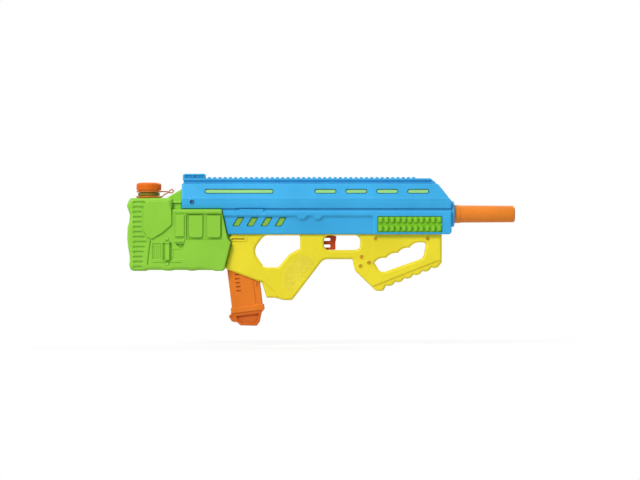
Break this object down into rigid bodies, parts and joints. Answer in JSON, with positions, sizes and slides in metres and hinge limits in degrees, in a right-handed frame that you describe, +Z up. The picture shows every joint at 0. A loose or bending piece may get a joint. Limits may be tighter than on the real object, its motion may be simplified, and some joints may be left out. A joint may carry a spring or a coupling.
{
  "type": "water squirter",
  "caption": "Long two-handed toy water squirter with a rear refillable tank, thumbhole grip, trigger pump, toothed top rail, dummy magazine and round barrel.",
  "frame": {"origin": "in the middle of the grip, on the parting plane, where the hand closes round it", "axes": "+X forwards to the nozzle, +Y to the holder's left, +Z up to the rail"},
  "size_m": [0.5987, 0.0576, 0.2353],
  "materials": {
    "blue_plastic": "moulded, satin",
    "green_plastic": "moulded, satin",
    "yellow_plastic": "moulded, satin",
    "orange_plastic": "moulded, satin",
    "cap_plastic": "moulded, satin",
    "trigger_plastic": "moulded, satin",
    "pump_plastic": "natural moulded",
    "hose": "soft, cloudy",
    "seal": "matt",
    "steel": "plated"
  },
  "bodies": {
    "casing": {"receiver_right": "blue_plastic", "receiver_left": "blue_plastic", "receiver_screw_1": "steel", "receiver_screw_2": "steel", "receiver_screw_3": "steel", "receiver_screw_4": "steel", "receiver_screw_5": "steel", "receiver_screw_6": "steel", "receiver_screw_7": "steel", "tank_screw_right": "steel", "tank_screw_left": "steel", "upper_strip_right": "green_plastic", "upper_strip_left": "green_plastic", "lower_strip_right": "green_plastic", "lower_strip_left": "green_plastic", "side_pad_right": "green_plastic", "side_pad_left": "green_plastic", "top_rail": "blue_plastic", "rear_sight": "blue_plastic", "barrel": "orange_plastic", "barrel_collar": "blue_plastic", "nozzle": "orange_plastic", "frame_right": "yellow_plastic", "frame_left": "yellow_plastic", "frame_screw_1": "steel", "frame_screw_2": "steel", "frame_screw_3": "steel", "frame_screw_4": "steel", "frame_screw_5": "steel", "frame_screw_6": "steel", "frame_screw_7": "steel", "pump_cylinder": "pump_plastic", "pump_gland": "pump_plastic", "return_spring": "steel", "valve_block": "pump_plastic", "inlet_barb": "pump_plastic", "outlet_elbow": "pump_plastic", "delivery_hose": "hose", "tank": "green_plastic", "tank_spout": "pump_plastic", "spout_seal": "seal", "feed_hose": "hose", "pickup_tube": "hose", "tether_neck_ring": "cap_plastic", "tether_strap": "cap_plastic"},
    "trigger": {"trigger": "trigger_plastic", "plunger": "pump_plastic", "plunger_seal": "seal"},
    "cap_ring": {"tether_cap_ring": "cap_plastic"},
    "cap": {"filler_cap": "cap_plastic", "cap_gasket": "seal"},
    "magazine": {"magazine_right": "orange_plastic", "magazine_left": "orange_plastic", "magazine_base": "orange_plastic"},
    "inlet_ball": {"inlet_ball": "steel"},
    "outlet_ball": {"outlet_ball": "steel"}
  },
  "joints": [
    {"name": "trigger_pull", "type": "slide", "parent": "casing", "child": "trigger", "axis": [-1, 0, 0], "range_m": [0, 0.009], "stiffness_N_per_m": 450, "springref_m": -0.012, "deforming": ["return_spring"]},
    {"name": "cap_lift", "type": "slide", "parent": "casing", "child": "cap_ring", "axis": [0, 0, 1], "range_m": [0, 0.013], "deforming": ["tether_strap"]},
    {"name": "cap_turn", "type": "hinge", "parent": "cap_ring", "child": "cap", "pos_m": [-0.2404, 0, 0.11], "axis": [0, 0, 1], "range_deg": [0, 1170]},
    {"name": "magazine_slide", "type": "slide", "parent": "casing", "child": "magazine", "axis": [0.1219, 0, -0.9925], "range_m": [0, 0.026]},
    {"name": "inlet_ball_lift", "type": "slide", "parent": "casing", "child": "inlet_ball", "axis": [0, 0, 1], "range_m": [0, 0.003]},
    {"name": "outlet_ball_lift", "type": "slide", "parent": "casing", "child": "outlet_ball", "axis": [0, 0, 1], "range_m": [0, 0.0025]}
  ],
  "couplings": [
    {"joint": "cap_turn", "follows": "cap_lift", "rad_per_m": 1570.8}
  ]
}
